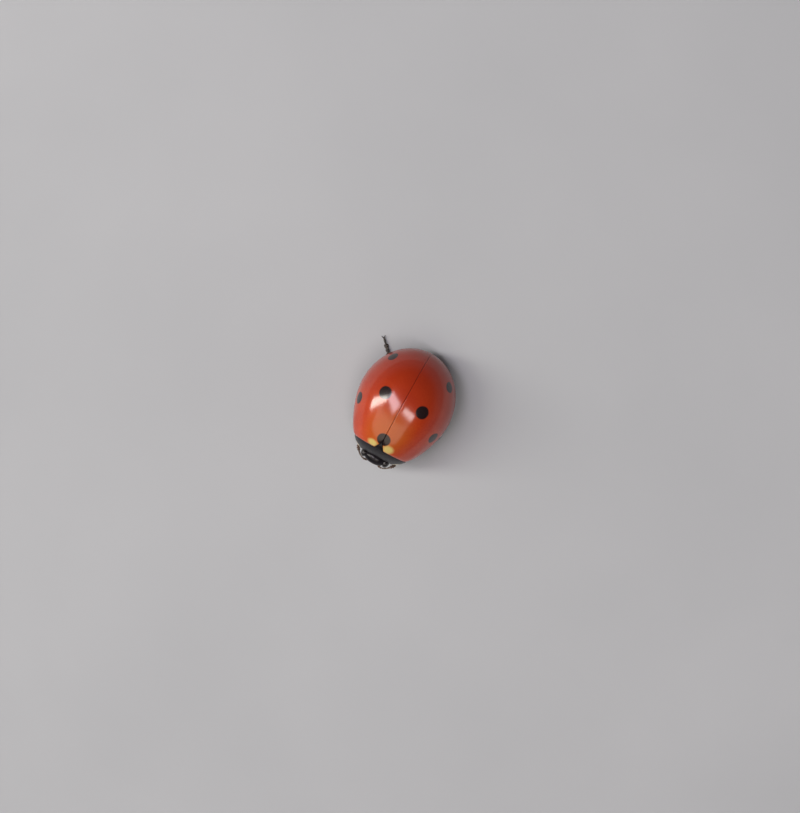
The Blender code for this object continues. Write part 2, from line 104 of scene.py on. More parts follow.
EYE_RADII = (0.205, 0.265, 0.305)
EYE_FACET_REACH = 0.080
EYE_FACET_DOME = 0.022

# The left feeler's route from the middle of the head, and each joint's length and end radii
ANTENNA_ROUTE = [
    (0.33, -0.40, -0.12), (0.58, -0.46, -0.22), (0.84, -0.36, -0.36), (1.04, -0.18, -0.47),
    (1.20, 0.02, -0.53),
]
ANTENNA_JOINTS = [
    (0.17, 0.062, 0.070), (0.09, 0.050, 0.056), (0.13, 0.034, 0.042), (0.085, 0.034, 0.040),
    (0.080, 0.034, 0.041), (0.070, 0.035, 0.043), (0.070, 0.037, 0.047), (0.070, 0.042, 0.056),
    (0.115, 0.056, 0.098), (0.105, 0.084, 0.112), (0.120, 0.094, 0.060),
]

# The palps' hatchet-shaped end: how far along it, half width and half depth
HATCHET = [
    (0.0, 0.030, 0.030), (0.06, 0.052, 0.044), (0.3, 0.080, 0.056), (0.6, 0.108, 0.060),
    (0.85, 0.124, 0.056), (0.94, 0.122, 0.046), (0.985, 0.106, 0.030), (1.0, 0.080, 0.014),
]

# Underside
BELLY_Z = 0.98
BELLY_SIDE_RISE = 0.22
BELLY_END_RISE = 0.25
BELLY_INSET = FOLD_WIDTH + 0.02
THORAX_REAR_Y = WIDEST_Y - 0.02
ABDOMEN_PLATES = 6
ABDOMEN_FRONT_Y = THORAX_REAR_Y + 0.01
ABDOMEN_REAR_Y = SHELL_TIP_Y - FOLD_WIDTH - 0.03
ABDOMEN_LENGTH = ABDOMEN_REAR_Y - ABDOMEN_FRONT_Y
# Y of the rear edge of each belly plate in the middle
PLATE_EDGES = [
    ABDOMEN_FRONT_Y + ABDOMEN_LENGTH * math.sin(math.pi / 2.0 * (i + 1) / ABDOMEN_PLATES)
    for i in range(ABDOMEN_PLATES)
]

# Legs: the left hips, then knee, ankle and toe as the solids have them, Y from the widest place
COXAE = {
    "fore": (0.46, WIDEST_Y - 2.90, 1.02),
    "mid": (0.78, WIDEST_Y - 1.72, 1.00),
    "hind": (0.80, WIDEST_Y - 0.62, 1.00),
}
LEG_ROUTES = {
    "fore": [(1.46, -2.85, 0.77), (1.68, -2.34, 0.17), (1.70, -1.96, 0.11)],
    "mid": [(2.12, -1.80, 0.80), (2.56, -0.84, 0.17), (2.50, -0.30, 0.11)],
    "hind": [(2.02, 0.46, 0.78), (2.10, 1.36, 0.17), (1.66, 1.90, 0.11)],
    "hind_out": [(1.64, 0.66, 0.78), (2.18, 1.86, 0.17), (2.76, 2.46, 0.11)],
}

# Radii of a leg's joints, each with its share of the way from root to tip
THIGH = [
    (0.0, 0.06), (0.05, 0.12), (0.2, 0.19), (0.45, 0.225), (0.7, 0.205), (0.88, 0.15), (0.96, 0.11),
    (1.0, 0.05),
]
SHIN = [
    (0.0, 0.04), (0.03, 0.075), (0.12, 0.085), (0.3, 0.085), (0.6, 0.105), (0.85, 0.125), (0.95, 0.12),
    (1.0, 0.07),
]
FOOT_FIRST_JOINT = [(0.0, 0.05), (0.3, 0.075), (0.8, 0.105), (0.95, 0.10), (1.0, 0.05)]
FOOT_LOBE = [(0.0, 0.04), (0.4, 0.075), (0.85, 0.08), (1.0, 0.04)]
FOOT_LAST_JOINT = [(0.0, 0.035), (0.3, 0.04), (0.85, 0.06), (1.0, 0.03)]

# Hairs
HAIR_RADIUS = 0.0036
HAIR_LOWEST_ROOT = 0.03
HAIR_LOWEST_TIP = 0.01
BELLY_HAIRS = 2600
FACE_HAIRS = 150
SOLE_HAIRS = 60

# The photograph's view, in its own pixels
PHOTO_WIDTH = 800
PHOTO_HEIGHT = 813
PHOTO_SPOTS_MIDDLE = (403.8, 402.5)
PHOTO_PIXELS_PER_MM = 18.33
AXIS_TURN = 28.5
CAMERA_LEAN_LEFT = 1.6
CAMERA_LEAN_REAR = 8.5
LENS = 100.0
SENSOR = 36.0

# Lights: how far each leans left and to the rear, its distance, sides, watts, colour and spin
LIGHTS = [
    ("key", (-51.0, -17.0), 0.25, (0.038, 0.165), 0.25, (1.0, 0.94, 0.86), -55.0),
    ("over_left", (-19.0, -2.0), 0.30, (0.155, 0.070), 0.23, (1.0, 0.90, 0.98), -20.0),
    ("over_right", (17.0, -7.5), 0.30, (0.140, 0.036), 0.128, (1.0, 0.91, 0.90), -12.0),
    ("front", (-8.0, -30.0), 0.30, (0.42, 0.13), 0.17, (1.0, 0.90, 0.76), 0.0),
]
# How bright the studio is at the floor's level, a little over it and high up
WALL_GREYS = ((0.0, 0.13), (0.06, 0.23), (0.62, 0.045))
FLOOR_HALF_SIZE = 0.6

# The middle, side and rear spot of one side: how far out, Y and radius
SPOTS_MIDDLE_Y = WIDEST_Y + 0.35
SPOTS = [
    (1.15, SPOTS_MIDDLE_Y - 0.04, 0.37),
    (2.33, SPOTS_MIDDLE_Y - 1.15, 0.34),
    (1.78, SPOTS_MIDDLE_Y + 1.74, 0.31),
]
SCUTELLAR_SPOT_Y = WIDEST_Y - 2.02
SCUTELLAR_SPOT_RADII = (0.39, 0.36, 0.5)
# The two cream patches beside the scutellum: across, along and how deep
CREAM_PATCHES = ((0.47, WIDEST_Y - 2.44, 0.24), (-0.47, WIDEST_Y - 2.48, 0.18))
# The front orange (a paler front plus a painted sheen), and where painted shade darkens the red to the
# rear
SHEEN_ORANGE_Y = WIDEST_Y - 1.60
SHEEN_ORANGE_RADII = (1.15, 1.40, 1.1)
PAINTED_SHADE_FROM_Y = WIDEST_Y - 1.6

# Places of the colour sockets in the list of a mix node
MIX_FACTOR, MIX_FIRST, MIX_SECOND, MIX_RESULT = 0, 6, 7, 2

# Linear colours; in a pair, a mottle wanders from the first to the second
BROAD_REDS = ((0.50, 0.034, 0.005), (0.70, 0.072, 0.008))
FINE_REDS = ((0.58, 0.048, 0.007), (0.70, 0.078, 0.012))
# Partly the shell's own paler front, partly a painted sheen of reflected light
FRONT_ORANGE_AND_PAINTED_SHEEN = (0.61, 0.165, 0.022)
# Painted shade: the deep red the shell turns to towards its rear
PAINTED_REAR_SHADE_RED = (0.32, 0.021, 0.005)
YELLOW_CREAM = (0.80, 0.62, 0.20)
SPOT_BLACK = (0.018, 0.006, 0.006)
SHELL_BLACKS = ((0.006, 0.005, 0.007), (0.020, 0.016, 0.020))
SHELL_CREAMS = ((0.70, 0.60, 0.38), (0.82, 0.75, 0.55))
BELLY_BLACKS = ((0.007, 0.006, 0.006), (0.024, 0.017, 0.014))
BELLY_CREAM = (0.74, 0.64, 0.42)
LEG_BLACKS = ((0.007, 0.005, 0.005), (0.034, 0.018, 0.011))
FEELER_BROWNS = ((0.035, 0.014, 0.006), (0.16, 0.065, 0.022))
EYE_BLACKS = ((0.006, 0.005, 0.006), (0.026, 0.019, 0.017))
HAIR_GREYS = ((0.36, 0.31, 0.24), (0.60, 0.55, 0.46))
FLOOR_GREYS = ((0.56, 0.595, 0.62), (0.60, 0.635, 0.66))


def shell_size(y, inset):
    """Half width, height over the margin and height of the margin of the dome at one place."""
    beyond = y - WIDEST_Y
    if beyond > 0.0:
        length = SHELL_REAR_LENGTH - inset
        power = 2.0
    else:
        length = SHELL_FRONT_LENGTH - inset * FRONT_INSET_SHARE
        power = SHELL_FRONT_POWER
    share = min(1.0, abs(beyond) / length)
    half_width = (SHELL_HALF_WIDTH - inset) * (1.0 - share ** power) ** (1.0 / power)
    past_top = y - TOP_Y
    if past_top > 0.0:
        reach = SHELL_TIP_Y - TOP_Y - inset
    else:
        reach = SHELL_RISE_LENGTH - inset * FRONT_INSET_SHARE
    share = min(1.0, abs(past_top) / reach)
    height = (SHELL_HEIGHT - inset) * math.sqrt(max(0.0, 1.0 - share ** 2))
    margin = MARGIN_Z + MARGIN_CURVE * (beyond / SHELL_REAR_LENGTH) ** 2
    return half_width, height, margin


def shell_z(x, y, inset=0.0):
    """Height of the dome over a point of the plan."""
    half_width, height, margin = shell_size(y, inset)
    share = min(1.0, abs(x) / max(half_width, 1e-6))
    power = SHELL_SECTION_POWER
    return margin + height * (1.0 - share ** power) ** (1.0 / power)


def base_line(x, gap):
    """Y of the elytra's base at one place across, that much behind the pronotum's edge."""
    radius = BASE_ARC_RADIUS + gap
    return BASE_MIDDLE_Y - BASE_ARC_RADIUS + math.sqrt(radius ** 2 - x ** 2)


def scutellum_line(x, gap):
    """Y of the scutellum's side edge at one place across, that much behind it."""
    slope = SCUTELLUM_LENGTH / SCUTELLUM_HALF_WIDTH
    return BASE_MIDDLE_Y + SCUTELLUM_LENGTH - slope * abs(x) + gap * math.sqrt(1.0 + slope ** 2)


def unit(way):
    """A direction of length 1."""
    return way / np.linalg.norm(way)


def turns(count):
    """So many even turns of a circle."""
    return [2.0 * math.pi * k / count for k in range(count)]


def bell(distance, width):
    """1 on a line, falling to 0 away from it."""
    return math.exp(-(distance / width) ** 2)


class Shape:
    """Points in millimetres and faces, collected for one mesh."""

    def __init__(self):
        self.points = []
        self.faces = []

    def loft(self, rings):
        """A closed body through rings of equal count; a one-point ring ends it in that point."""
        starts = []
        for ring in rings:
            starts.append(len(self.points))
            self.points.extend(ring)
        for (ring, a), (following, b) in zip(zip(rings, starts), zip(rings[1:], starts[1:])):
            count = max(len(ring), len(following))
            for i in range(count):
                j = (i + 1) % count
                if len(ring) == 1:
                    self.faces.append((a, b + i, b + j))
                elif len(following) == 1:
                    self.faces.append((a + i, a + j, b))
                else:
                    self.faces.append((a + i, a + j, b + j, b + i))
        for ring, a in ((rings[0], starts[0]), (rings[-1], starts[-1])):
            if len(ring) > 2:
                self.faces.append(tuple(range(a, a + len(ring))))

    def ball(self, centre, radii, turn, around, rows, shaper=None):
        """An ellipsoid, turned by a 3 x 3 matrix, each of its points first changed by shaper."""
        rings = []
        for i in range(rows + 1):
            tilt = math.pi * i / rows
            count = 1 if i in (0, rows) else around
            ring = []
            for spin in turns(around)[:count]:
                local = np.array([math.sin(tilt) * math.cos(spin), math.sin(tilt) * math.sin(spin),
                                  math.cos(tilt)]) * radii
                if shaper:
                    local = shaper(local)
                ring.append(centre + turn @ local)
            rings.append(ring)
        self.loft(rings)

    def rod(self, path, radii, around=12, flat=1.0):
        """A limb along a path of points with a radius at each, its cross-section flattened."""
        rings = []
        for i, (centre, radius) in enumerate(zip(path, radii)):
            ahead = unit(path[min(i + 1, len(path) - 1)] - path[max(i - 1, 0)])
            side = np.cross(ahead, UP)
            if np.linalg.norm(side) < 1e-3:
                side = np.cross(ahead, (1.0, 0.0, 0.0))
            side = unit(side)
            over = np.cross(side, ahead)
            rings.append([centre + radius * (side * math.cos(t) + over * math.sin(t) * flat)
                          for t in turns(around)])
        self.loft(rings)

    def hair(self, root, way, length, radius=HAIR_RADIUS):
        """A tiny closed spike with three sides."""
        way = unit(np.array(way, float))
        side = unit(np.cross(way, (0.3, 0.5, 0.8)))
        over = np.cross(side, way)
        start = len(self.points)
        for t in turns(3):
            self.points.append(root + radius * (side * math.cos(t) + over * math.sin(t)))
        self.points.append(root + way * length)
        a, b, c, d = range(start, start + 4)
        self.faces.extend([(a, b, d), (b, c, d), (c, a, d), (c, b, a)])


def lofted(rings):
    """A shape of one closed body through rings."""
    shape = Shape()
    shape.loft(rings)
    return shape


def add_object(name, data):
    """A new object in the scene."""
    thing = bpy.data.objects.new(name, data)
    bpy.context.scene.collection.objects.link(thing)
    return thing


def make_piece(name, shape, slot, *nodes, look=None):
    """Make a shape an object in metres that rides on the body and stands for some nodes."""
    mesh = bpy.data.meshes.new(name)
    mesh.from_pydata([tuple(c * MM for c in p) for p in shape.points], [], shape.faces)
    work = bmesh.new()
    work.from_mesh(mesh)
    bmesh.ops.recalc_face_normals(work, faces=work.faces)
    work.to_mesh(mesh)
    work.free()
    mesh.materials.append(LOOKS[look or slot])
    mesh.shade_smooth()
    mesh.set_sharp_from_angle(angle=math.radians(SHARP_ANGLE))
    piece = add_object(name, mesh)
    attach(piece, "root")
    if nodes:
        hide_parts(*nodes)


def smooth_path(points, steps):
    """A smooth curve through points, with that many steps for each stretch."""
    points = [np.array(p, float) for p in points]
    padded = [2 * points[0] - points[1]] + points + [2 * points[-1] - points[-2]]
    path = []
    for a, b, c, d in zip(padded, padded[1:], padded[2:], padded[3:]):
        for i in range(steps):
            t = i / steps
            path.append(0.5 * (2 * b + (c - a) * t + (2 * a - 5 * b + 4 * c - d) * t ** 2
                               + (3 * b - a - 3 * c + d) * t ** 3))
    path.append(points[-1])
    return path


def on_shell(x, y):
    """The place on the dome over a point of the plan."""
    return x, y, shell_z(x, y)


def head_axes():
    """The head's own axes: to its left, out of its face and up its face."""
    bow = math.radians(HEAD_BOW)
    left = np.array([1.0, 0.0, 0.0])
    out = np.array([0.0, -math.cos(bow), -math.sin(bow)])
    up = np.array([0.0, -math.sin(bow), math.cos(bow)])
    return np.column_stack([left, out, up])


def head_place(local):
    """A place given along the head's own axes, in the frame of the solids."""
    return HEAD_CENTRE + head_axes() @ np.array(local)


def head_path(route, side, steps):
    """A smooth path through places along the head's own axes, for one side."""
    return smooth_path([head_place((side * x, y, z)) for x, y, z in route], steps)


# Materials


class Nodes:
    """Adds and joins the nodes of a material or world; places and sizes are in millimetres."""

    def __init__(self, owner, shader="Principled BSDF", coords="Object"):
        owner.use_nodes = True
        self.owner = owner
        self.tree = owner.node_tree
        self.shader = self.tree.nodes[shader]
        self.coords = self.add("ShaderNodeTexCoord").outputs[coords]

    def add(self, kind, inputs=None, **settings):
        """A new node with its settings and inputs."""
        node = self.tree.nodes.new(kind)
        for key, value in settings.items():
            setattr(node, key, value)
        self.fill(node, inputs or {})
        return node

    def fill(self, node, inputs):
        """Give a node its inputs: an output is joined and anything else is set."""
        for key, value in inputs.items():
            if isinstance(value, bpy.types.NodeSocket):
                self.tree.links.new(value, node.inputs[key])
            else:
                node.inputs[key].default_value = value

    def math(self, operation, *values):
        """One step of arithmetic on numbers and outputs."""
        return self.add("ShaderNodeMath", dict(enumerate(values)), operation=operation).outputs[0]

    def vector(self, operation, *values):
        """One step of arithmetic on places."""
        return self.add("ShaderNodeVectorMath", dict(enumerate(values)), operation=operation)

    def along(self, axis):
        """How far along one axis, in metres."""
        return self.add("ShaderNodeSeparateXYZ", {0: self.coords}).outputs[axis]

    def noise(self, per_mm, detail=3.0):
        """A cloudy noise."""
        inputs = {"Vector": self.coords, "Scale": per_mm / MM, "Detail": detail}
        return self.add("ShaderNodeTexNoise", inputs).outputs["Fac"]

    def cells(self, per_mm):
        """The distance from the nearest of many scattered points."""
        inputs = {"Vector": self.coords, "Scale": per_mm / MM}
        return self.add("ShaderNodeTexVoronoi", inputs).outputs["Distance"]

    def rise(self, value, low, high, top=1.0):
        """A smooth step from 0 at one value to top at another."""
        inputs = {"Value": value, "From Min": low, "From Max": high, "To Max": top}
        return self.add("ShaderNodeMapRange", inputs, interpolation_type="SMOOTHSTEP").outputs["Result"]

    def mottle(self, per_mm, colours, ends=(0.3, 0.75), detail=3.0):
        """A noise that wanders between two colours, which it reaches at two of its values."""
        node = self.add("ShaderNodeValToRGB", {"Fac": self.noise(per_mm, detail)})
        for stop, end, colour in zip(node.color_ramp.elements, ends, colours):
            stop.position = end
            stop.color = (*colour, 1.0)
        return node.outputs["Color"]

    def mix(self, share, first, second):
        """A second colour, painted or plain, laid over the first by a share."""
        if isinstance(second, tuple):
            second = (*second, 1.0)
        inputs = {MIX_FACTOR: share, MIX_FIRST: first, MIX_SECOND: second}
        return self.add("ShaderNodeMix", inputs, data_type="RGBA").outputs[MIX_RESULT]

    def blob(self, centre, radii, edge=0.06, wobble=0.05):
        """1 inside an ellipsoid and 0 outside, with a slightly uneven edge."""
        apart = self.vector("SUBTRACT", self.coords, [c * MM for c in centre])
        shares = self.vector("MULTIPLY", apart.outputs[0], [1.0 / (r * MM) for r in radii])
        uneven = self.math("MULTIPLY_ADD", self.noise(2.5), wobble * 2.0, -wobble)
        distance = self.vector("LENGTH", shares.outputs[0]).outputs["Value"]
        return self.rise(self.math("ADD", distance, uneven), 1.0 + edge, 1.0 - edge)

    def most(self, values):
        """The largest of several values."""
        total = values[0]
        for value in values[1:]:
            total = self.math("MAXIMUM", total, value)
        return total

    def bump(self, height, depth, strength, under=None):
        """A fine relief, over another one if that is given."""
        inputs = {"Height": height, "Distance": depth * MM, "Strength": strength}
        if under is not None:
            inputs["Normal"] = under
        return self.add("ShaderNodeBump", inputs).outputs["Normal"]

    def pits(self, per_mm, size):
        """Fine round punctures: 1 on the level shell, falling to 0 in each pit."""
        return self.rise(self.cells(per_mm), size * 0.3, size)

    def finish(self, colour, roughness, normal, **numbers):
        """Dress the shader. Its roughness is how often in a mm it wanders, its low and its high."""
        per_mm, low, high = roughness
        wander = self.math("MULTIPLY_ADD", self.noise(per_mm), high - low, low)
        self.fill(self.shader, {"Base Color": colour, "Roughness": wander, "Normal": normal})
        self.fill(self.shader, {key.replace("_", " "): number for key, number in numbers.items()})
        return self.owner


def new_nodes(name):
    """The nodes of a new material."""
    return Nodes(bpy.data.materials.new(name))


def elytra_material():
    """Glossy red-orange horn: seven black spots, cream patches, punctures, an orange front that is partly
    painted sheen, and painted shade to the rear.
    """
    nodes = new_nodes("elytra_red_horn")
    broad = nodes.mottle(0.55, BROAD_REDS, (0.3, 0.7), 2.0)
    fine = nodes.mottle(9.0, FINE_REDS, (0.35, 0.7), 4.0)
    red = nodes.mix(0.4, broad, fine)
    # The orange area at the front is partly the shell's paler front and partly a painted sheen
    orange_and_sheen = nodes.blob(on_shell(0.0, SHEEN_ORANGE_Y), SHEEN_ORANGE_RADII, 0.6, 0.10)
    red = nodes.mix(nodes.math("MULTIPLY", orange_and_sheen, 0.62), red, FRONT_ORANGE_AND_PAINTED_SHEEN)
    # Painted shade: the red darkens from the middle towards the rear tip
    painted_rear_shade = nodes.rise(nodes.along("Y"), PAINTED_SHADE_FROM_Y * MM, SHELL_TIP_Y * MM, 0.86)
    red = nodes.mix(painted_rear_shade, red, PAINTED_REAR_SHADE_RED)
    cream = [nodes.blob(on_shell(x, y), (0.30, depth, 0.30), 0.45, 0.20) for x, y, depth in CREAM_PATCHES]
    red = nodes.mix(nodes.most(cream), red, YELLOW_CREAM)
    dark = [nodes.blob(on_shell(0.0, SCUTELLAR_SPOT_Y), SCUTELLAR_SPOT_RADII, 0.10)]
    for x, y, radius in SPOTS:
        for side in (1, -1):
            dark.append(nodes.blob(on_shell(side * x, y), (radius, radius, radius * 1.05), 0.10, 0.07))
    colour = nodes.mix(nodes.most(dark), red, SPOT_BLACK)
    normal = nodes.bump(nodes.pits(24.0, 0.44), 0.003, 0.35)
    normal = nodes.bump(nodes.noise(2.2, 2.0), 0.012, 0.25, normal)
    return nodes.finish(colour, (4.0, 0.30, 0.42), normal, Coat_Weight=0.74, Coat_Roughness=0.14,
                        Coat_IOR=1.8, Specular_IOR_Level=0.08, Subsurface_Weight=0.06,
                        Subsurface_Scale=0.15 * MM)


def black_shell_material():
    """Black pronotum, head and scutellum with cream corner patches and fine punctures."""
    nodes = new_nodes("shell_black_horn")
    cream = []
    for side in (1, -1):
        corner = (side * 1.24, NOTCH_MIDDLE_Y - 0.10, PRONOTUM_Z + 0.14)
        cream.append(nodes.blob(corner, (0.32, 0.28, 0.50), 0.06, 0.08))
        brow = head_place((side * 0.34, 0.34, 0.20))
        cream.append(nodes.blob(brow, (0.085, 0.2, 0.11), 0.14, 0.10))
    pale = nodes.mottle(6.0, SHELL_CREAMS, (0.3, 0.7))
    colour = nodes.mix(nodes.most(cream), nodes.mottle(3.0, SHELL_BLACKS), pale)
    normal = nodes.bump(nodes.pits(25.0, 0.46), 0.003, 0.45)
    normal = nodes.bump(nodes.noise(60.0, 2.0), 0.0015, 0.5, normal)
    return nodes.finish(colour, (5.0, 0.30, 0.46), normal, Coat_Weight=0.22, Coat_Roughness=0.15,
                        Coat_IOR=1.8, Specular_IOR_Level=0.10)


def belly_material():
    """Satin black underside plates, with the pale mesepimera at the sides of the middle legs."""
    nodes = new_nodes("belly_black_horn")
    cream = [nodes.blob((side * 1.86, WIDEST_Y - 1.78, 1.28), (0.24, 0.30, 0.40), 0.12, 0.10)
             for side in (1, -1)]
    colour = nodes.mix(nodes.most(cream), nodes.mottle(2.5, BELLY_BLACKS), BELLY_CREAM)
    normal = nodes.bump(nodes.pits(11.0, 0.38), 0.010, 0.7)
    normal = nodes.bump(nodes.noise(40.0, 2.0), 0.003, 0.6, normal)
    return nodes.finish(colour, (5.0, 0.38, 0.56), normal, Coat_Weight=0.15, Coat_Roughness=0.25, IOR=1.54)


def leg_material():
    """Black legs with a dark brown tinge, finely scaled."""
    nodes = new_nodes("leg_black_horn")
    colour = nodes.mottle(3.5, LEG_BLACKS, (0.3, 0.8))
    normal = nodes.bump(nodes.cells(26.0), 0.004, 0.6)
    return nodes.finish(colour, (8.0, 0.34, 0.52), normal, Coat_Weight=0.25, Coat_Roughness=0.20, IOR=1.54)


def feeler_material():
    """Brown feelers and palps that darken unevenly."""
    nodes = new_nodes("feeler_brown_horn")
    colour = nodes.mottle(2.2, FEELER_BROWNS)
    normal = nodes.bump(nodes.cells(34.0), 0.003, 0.5)
    return nodes.finish(colour, (10.0, 0.36, 0.55), normal, Coat_Weight=0.2, Coat_Roughness=0.25, IOR=1.54)


def eye_material():
    """Glossy black compound eyes with a faint brown mottle."""
    nodes = new_nodes("eye_black_facets")
    colour = nodes.mottle(7.0, EYE_BLACKS, (0.3, 0.8))
    normal = nodes.bump(nodes.noise(90.0, 2.0), 0.0008, 0.4)
    return nodes.finish(colour, (12.0, 0.14, 0.28), normal, Coat_Weight=0.4, Coat_Roughness=0.10, IOR=1.52)


def hair_material():
    """Short pale greyish hairs."""
    nodes = new_nodes("hair_pale")
    colour = nodes.mottle(5.0, HAIR_GREYS, (0.3, 0.7))
    return nodes.finish(colour, (20.0, 0.45, 0.65), nodes.bump(nodes.noise(80.0), 0.001, 0.5))


def floor_material():
    """A plain pale floor with a faint mottle."""
    nodes = new_nodes("floor_pale")
    colour = nodes.mottle(0.06, FLOOR_GREYS, (0.3, 0.7))
    return nodes.finish(colour, (0.5, 0.65, 0.8), nodes.bump(nodes.noise(2.0), 0.01, 0.1))


# The look of each slot, and of the hairs
LOOKS = {
    "elytra_red": elytra_material(),
    "shell_black": black_shell_material(),
    "belly_black": belly_material(),
    "leg_black": leg_material(),
    "feeler_brown": feeler_material(),
    "eye_black": eye_material(),
    "hairs": hair_material(),
}


# Shell plates


def shell_point(along, across, inset, side):
    """A point of one elytron: along 0 at the base to 1 at the tip, across 0 at the suture to 1."""
    power = 2.0 / SHELL_SECTION_POWER
    turn = across * math.pi / 2.0
    sine, cosine = math.sin(turn) ** power, max(0.0, math.cos(turn)) ** power
    near = SUTURE_GAP / 2.0
    front = BASE_MIDDLE_Y
    for _ in range(6):
        x = near + (shell_size(front, inset)[0] - near) * sine
        front = max(base_line(x, BASE_GAP), scutellum_line(x, BASE_GAP))
    front += CORNER_ROUND * max(0.0, (sine - 0.86) / 0.14) ** 2
    rear = SHELL_TIP_Y - inset
    y = front + (rear - front) * math.sin(math.pi / 2.0 * along)
    half_width, height, margin = shell_size(y, inset)
    x = near + max(0.0, half_width - near) * sine
    z = margin + height * cosine
    if inset == 0.0:
        distance = x - near
        if distance < EDGE_ROUND:
            z -= EDGE_ROUND - math.sqrt(EDGE_ROUND ** 2 - (EDGE_ROUND - distance) ** 2)
        shoulder = math.exp(-((across - 0.70) / 0.10) ** 2 - ((along - 0.06) / 0.06) ** 2)
        rim = bell(1.0 - across, 0.022) - 0.5 * bell(0.93 - across, 0.025)
        push = SHOULDER_SWELL * shoulder + RIM_SWELL * rim
        x += push * sine
        z += push * cosine
    return np.array([side * x, y, z])


def elytron_shape(side):
    """One wing case with its rounded edges and the fold under its margin."""
    outer = [t ** 1.6 for t in np.linspace(0.0, 1.0, 66)]
    outer = sorted(outer + [0.955, 0.97, 0.985, 0.993])
    stations = [0.0, 0.004, 0.012, 0.025, 0.04] + list(np.linspace(0.06, 0.985, 74)) + [0.993, 0.998]
    base_drops = [0.05, 0.02, 0.006, 0.001] + [0.0] * (len(stations) - 4)
    rings = []
    for along, drop in zip(stations, base_drops):
        ring = []
        for across in outer:
            point = shell_point(along, across, 0.0, side)
            if drop:
                lower = shell_point(along, across, BASE_EDGE_DEPTH, side)
                point = point + (lower - point) * drop / BASE_EDGE_DEPTH
            ring.append(point)
        edge = ring[-1]
        inner_edge = shell_point(along, 1.0, FOLD_WIDTH, side)
        for share in (0.04, 0.12, 0.3, 0.55, 0.8, 1.0):
            fold = edge + (inner_edge - edge) * share
            dip = 0.05 if share < 0.1 else 0.065
            ring.append(fold - np.array([0.0, 0.0, dip - 0.05 * math.sin(math.pi * share)]))
        for across in (1.0, 0.85, 0.7, 0.5, 0.3, 0.12, 0.0):
            ring.append(shell_point(along, across, FOLD_WIDTH, side))
        rings.append(ring)
    return lofted(rings)


def scutellum_shape():
    """The small black triangle between the bases of the elytra, a little arched."""
    outline = []
    front = BASE_MIDDLE_Y - 0.02
    half, tip = SCUTELLUM_HALF_WIDTH, BASE_MIDDLE_Y + SCUTELLUM_LENGTH
    corners = [(-half, front), (half, front), (0.0, tip)]
    for (x0, y0), (x1, y1) in zip(corners, corners[1:] + corners[:1]):
        for i in range(10):
            outline.append((x0 + (x1 - x0) * i / 10, y0 + (y1 - y0) * i / 10))
    middle_y = front + SCUTELLUM_LENGTH * 0.33
    rings = []
    for share, drop in SCUTELLUM_PROFILE:
        ring = []
        for x, y in outline:
            px = x * share
            py = middle_y + (y - middle_y) * share
            sink = 0.05 * max(0.0, 1.0 - (py - front) / 0.18)
            ring.append((px, py, shell_z(px, py) - drop - 0.015 - sink))
        rings.append(ring)
    rings.append([(0.0, middle_y, shell_z(0.0, middle_y) - 0.004)])
    return lofted(rings)


def pronotum_size(y, inset):
    """Half width and height of the pronotum's arch at one place."""
    share = min(1.0, abs(y - PRONOTUM_Y) / (PRONOTUM_LENGTH - inset * 0.7))
    reach = math.sqrt(max(0.0, 1.0 - share ** 2))
    return (PRONOTUM_HALF_WIDTH - inset) * reach, (PRONOTUM_HEIGHT - inset) * reach ** 2


def corner_share(sine):
    """0 over most of the arch, rising to 1 at its side edges."""
    return max(0.0, (abs(sine) - 0.8) / 0.2) ** 2


def pronotum_front(sine, inset):
    """Y where the arch, at one share of its half width, meets the hollow front edge."""
    centre = NOTCH_MIDDLE_Y - NOTCH_RADIUS
    high, low = PRONOTUM_Y - 0.4, PRONOTUM_Y - PRONOTUM_LENGTH + inset * 0.7
    for _ in range(40):
        y = (high + low) / 2.0
        x = pronotum_size(y, inset)[0] * sine
        if x ** 2 + (y - centre) ** 2 > NOTCH_RADIUS ** 2:
            high = y
        else:
            low = y
    return y + 0.15 * corner_share(sine)


def pronotum_rear(sine, inset):
    """Y where the arch meets the elytra's base, its corners rounded."""
    y = BASE_MIDDLE_Y
    for _ in range(8):
        y = base_line(pronotum_size(y, inset)[0] * sine, 0.0)
    return y - 0.10 * corner_share(sine)


def pronotum_shape():
    """The arched plate with a thin rim, its edges rounded."""
    edge = [(0.0, 0.05), (0.004, 0.025), (0.012, 0.009), (0.028, 0.001)]
    top = edge + [(t, 0.0) for t in np.linspace(0.05, 0.95, 26)]
    top += [(1.0 - s, d) for s, d in reversed(edge)]
    under = [(t, 0.10) for t in (1.0, 0.7, 0.4, 0.0)]
    shares = sorted(list(np.linspace(-1.0, 1.0, 97)) + [-0.995, -0.985, 0.985, 0.995])
    rings = []
    for share in shares:
        turn = share * math.pi / 2.0
        sine, cosine = math.sin(turn), math.cos(turn)
        ring = []
        for along, inset in top + under:
            front = pronotum_front(sine, inset)
            rear = pronotum_rear(sine, inset)
            y = front + (rear - front) * along
            half_width, height = pronotum_size(y, inset)
            rim = 0.02 * bell(1.0 - abs(share), 0.03) if inset < 0.06 else 0.0
            ring.append(((half_width + rim) * sine, y, PRONOTUM_Z + height * cosine))
        rings.append(ring)
    return lofted(rings)


